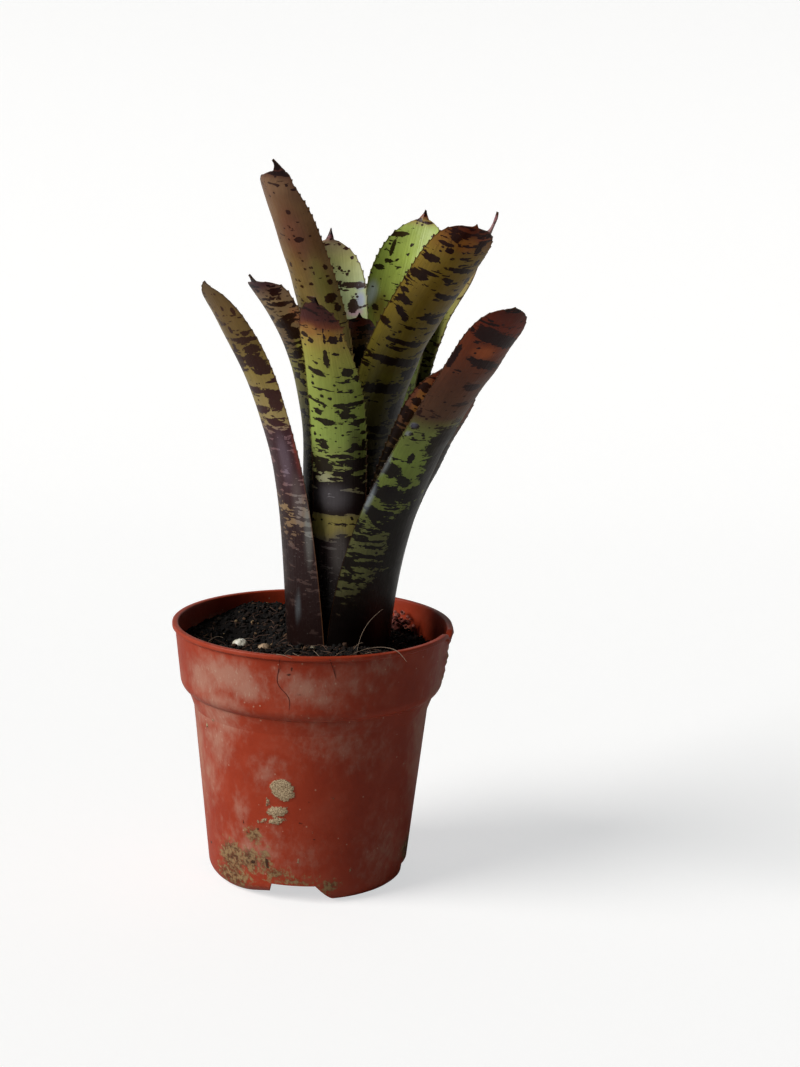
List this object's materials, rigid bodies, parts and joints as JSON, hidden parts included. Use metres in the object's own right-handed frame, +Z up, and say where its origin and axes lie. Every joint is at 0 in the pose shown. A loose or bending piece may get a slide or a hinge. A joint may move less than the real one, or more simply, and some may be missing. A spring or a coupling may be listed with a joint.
{
  "type": "potted bromeliad plant",
  "caption": "Young neoregelia bromeliad with spotted strap leaves, in a round terracotta-coloured plastic nursery pot of soil.",
  "frame": {"origin": "the middle of the pot's underside, on the surface it stands on", "axes": "+Z up along the pot's axis; -Y towards the side the plant is seen from, +X to the right of that view"},
  "size_m": [0.1359, 0.1627, 0.308],
  "materials": {
    "pot_plastic": "terracotta-coloured moulded plastic, dusty",
    "potting_mix": "dark crumbly potting mix of peat and fibre",
    "stem": "fleshy stock",
    "leaf": "leathery green leaf, banded and spotted dark red",
    "perlite": "white perlite",
    "pebble": "tan grit",
    "bark": "reddish bark crumb"
  },
  "bodies": {
    "root": {"pot": "pot_plastic", "soil": "potting_mix", "stem": "stem", "leaf_left_outer": "leaf", "leaf_right_front": "leaf", "leaf_right_behind": "leaf", "leaf_front": "leaf", "leaf_left_behind": "leaf", "leaf_right_back": "leaf", "leaf_back_green": "leaf", "leaf_back_pale": "leaf", "leaf_right_inner": "leaf", "leaf_tall_left": "leaf", "leaf_centre": "leaf", "perlite_granule": "perlite", "tan_pebble": "pebble", "grey_granule": "pebble", "bark_clump": "bark"}
  },
  "joints": []
}
